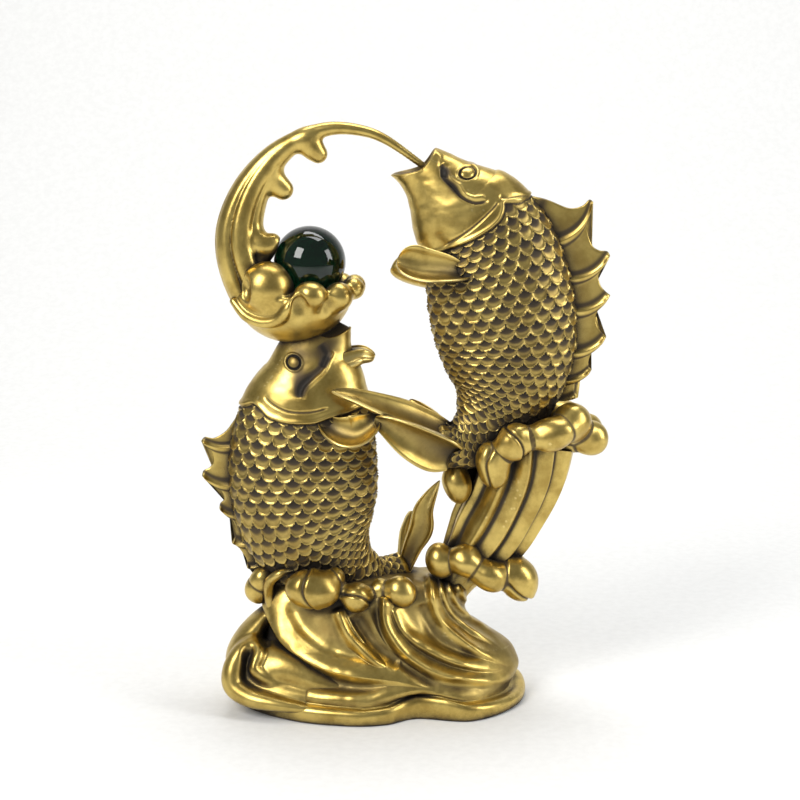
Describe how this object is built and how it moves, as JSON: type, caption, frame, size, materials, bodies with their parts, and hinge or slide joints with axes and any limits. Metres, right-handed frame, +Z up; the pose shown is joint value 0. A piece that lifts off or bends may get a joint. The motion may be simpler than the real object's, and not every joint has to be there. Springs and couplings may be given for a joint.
{
  "type": "fish figurine",
  "caption": "Cast brass ornament of two carp leaping from waves, one carrying a foam cup with a loose glass ball under a crescent of spray.",
  "frame": {"origin": "on the table under the middle of the ornament", "axes": "+Z up, -Y towards the viewer of the front, +X to the viewer's right; the lower carp is at -X and the upper carp at +X"},
  "size_m": [0.1754, 0.0821, 0.2486],
  "materials": {
    "cast_brass": "cast brass with dark patina in the recesses and polished ridges",
    "dowel_brass": "turned brass, hidden inside the joints",
    "green_glass": "polished dark bottle green glass"
  },
  "bodies": {
    "ornament": {"wave_base": "cast_brass", "front_crest_foam": "cast_brass", "rear_crest_foam": "cast_brass", "wave_column": "cast_brass", "lower_foam_collar": "cast_brass", "upper_foam_collar": "cast_brass", "lower_carp_body": "cast_brass", "lower_carp_dorsal_fin": "cast_brass", "lower_carp_tail_fin": "cast_brass", "lower_carp_near_pectoral_fin": "cast_brass", "lower_carp_far_pectoral_fin": "cast_brass", "upper_carp_body": "cast_brass", "upper_carp_dorsal_fin": "cast_brass", "upper_carp_tail_fin": "cast_brass", "upper_carp_near_pectoral_fin": "cast_brass", "upper_carp_far_pectoral_fin": "cast_brass", "spray_cup": "cast_brass", "spray_arch": "cast_brass", "lower_carp_dowel": "dowel_brass", "cup_dowel": "dowel_brass", "column_dowel": "dowel_brass", "upper_carp_dowel": "dowel_brass"},
    "ball": {"glass_ball": "green_glass"}
  },
  "joints": [
    {"name": "ball_lift", "type": "slide", "parent": "ornament", "child": "ball", "axis": [0.3511, -0.6621, 0.6621], "range_m": [0, 0.07]}
  ]
}
